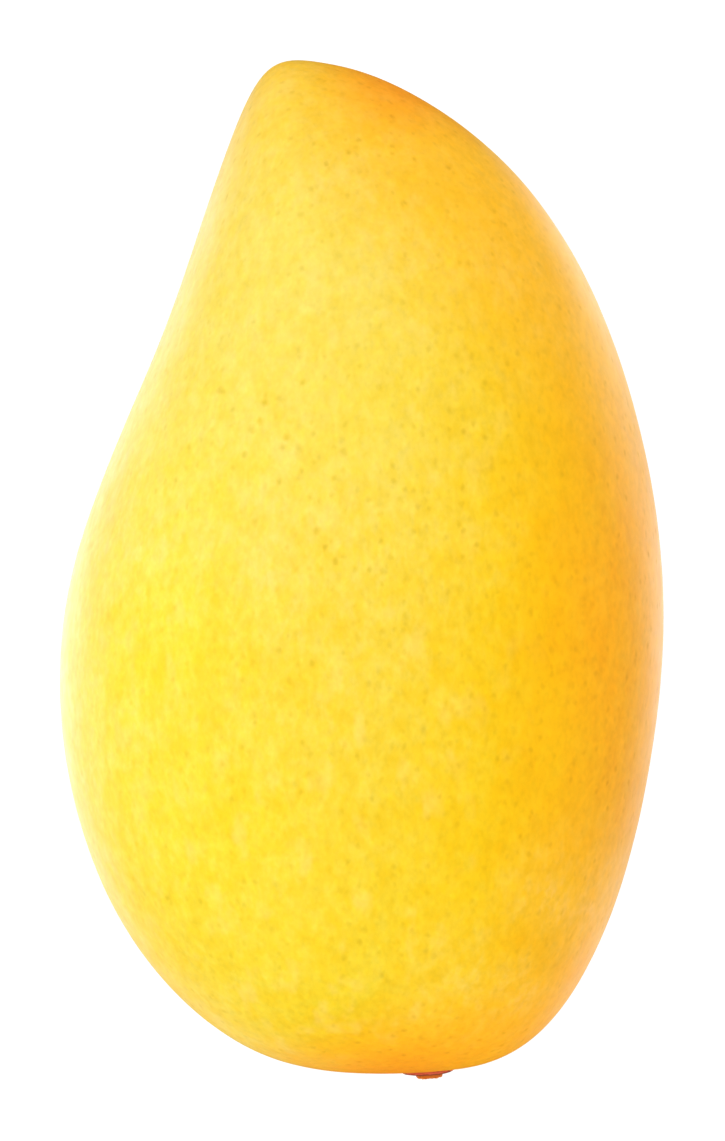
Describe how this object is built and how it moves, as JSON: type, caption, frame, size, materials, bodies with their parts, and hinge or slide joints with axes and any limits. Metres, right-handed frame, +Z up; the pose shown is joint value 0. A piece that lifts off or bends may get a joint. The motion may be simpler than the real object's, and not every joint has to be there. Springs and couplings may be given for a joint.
{
  "type": "mango",
  "caption": "Whole ripe yellow mango with a curved beak and the stub of its stalk, lying on one cheek.",
  "frame": {"origin": "middle of the small flat spot on the lower cheek that the fruit rests on", "axes": "+Z up from the surface it lies on; +Y along the fruit towards its beak, with the stalk end at -Y; +X towards the fuller back of the fruit, away from the side that the beak curves over"},
  "size_m": [0.0721, 0.1221, 0.0596],
  "materials": {
    "mango_skin": "satin",
    "dry_stalk": "matte"
  },
  "bodies": {
    "root": {"fruit": "mango_skin", "stalk_stub": "dry_stalk"}
  },
  "joints": []
}
